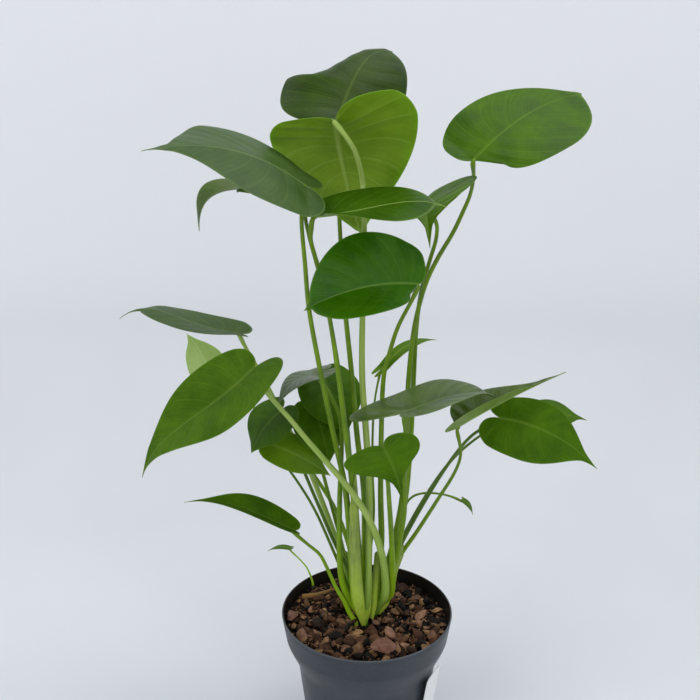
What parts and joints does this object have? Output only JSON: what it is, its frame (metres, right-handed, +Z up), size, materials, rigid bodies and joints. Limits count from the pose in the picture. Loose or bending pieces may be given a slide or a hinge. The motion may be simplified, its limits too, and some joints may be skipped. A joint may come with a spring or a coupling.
{
  "type": "potted monstera",
  "caption": "Young potted monstera: a clump of seedlings with heart-shaped leaves on long stalks, in a plain dark nursery pot of bark mix.",
  "frame": {"origin": "centre of the pot's underside, on the surface it stands on", "axes": "+Z up, -Y towards the front, +X to the right seen from the front"},
  "size_m": [0.3332, 0.1648, 0.4867],
  "materials": {
    "pot_plastic": "satin",
    "bark_mix": "matte",
    "bark": "matte",
    "dry_root": "matte",
    "label_plastic": "satin",
    "crown": "satin",
    "stalk": "satin",
    "leaf": "satin"
  },
  "bodies": {
    "root": {"pot": "pot_plastic", "soil": "bark_mix", "bark_chip_1": "bark", "bark_chip_2": "bark", "dry_root": "dry_root", "care_label": "label_plastic", "crown_1": "crown", "crown_2": "crown", "crown_3": "crown", "crown_4": "crown", "leaf_01_stalk": "stalk", "leaf_01_blade": "leaf", "leaf_02_stalk": "stalk", "leaf_02_blade": "leaf", "leaf_03_stalk": "stalk", "leaf_03_blade": "leaf", "leaf_04_stalk": "stalk", "leaf_04_blade": "leaf", "leaf_05_stalk": "stalk", "leaf_05_blade": "leaf", "leaf_06_stalk": "stalk", "leaf_06_blade": "leaf", "leaf_07_stalk": "stalk", "leaf_07_blade": "leaf", "leaf_08_stalk": "stalk", "leaf_08_blade": "leaf", "leaf_09_stalk": "stalk", "leaf_09_blade": "leaf", "leaf_10_stalk": "stalk", "leaf_10_blade": "leaf", "leaf_11_stalk": "stalk", "leaf_11_blade": "leaf", "leaf_12_stalk": "stalk", "leaf_12_blade": "leaf", "leaf_13_stalk": "stalk", "leaf_13_blade": "leaf", "leaf_14_stalk": "stalk", "leaf_14_blade": "leaf", "leaf_15_stalk": "stalk", "leaf_15_blade": "leaf", "leaf_16_stalk": "stalk", "leaf_16_blade": "leaf", "leaf_17_stalk": "stalk", "leaf_17_blade": "leaf", "leaf_18_stalk": "stalk", "leaf_18_blade": "leaf", "leaf_19_stalk": "stalk", "leaf_19_blade": "leaf", "leaf_20_stalk": "stalk", "leaf_20_blade": "leaf", "leaf_21_stalk": "stalk", "leaf_21_blade": "leaf", "leaf_22_stalk": "stalk", "leaf_22_blade": "leaf", "leaf_23_stalk": "stalk", "leaf_23_blade": "leaf", "leaf_24_stalk": "stalk", "leaf_24_blade": "leaf", "leaf_25_stalk": "stalk", "leaf_25_blade": "leaf"}
  },
  "joints": []
}
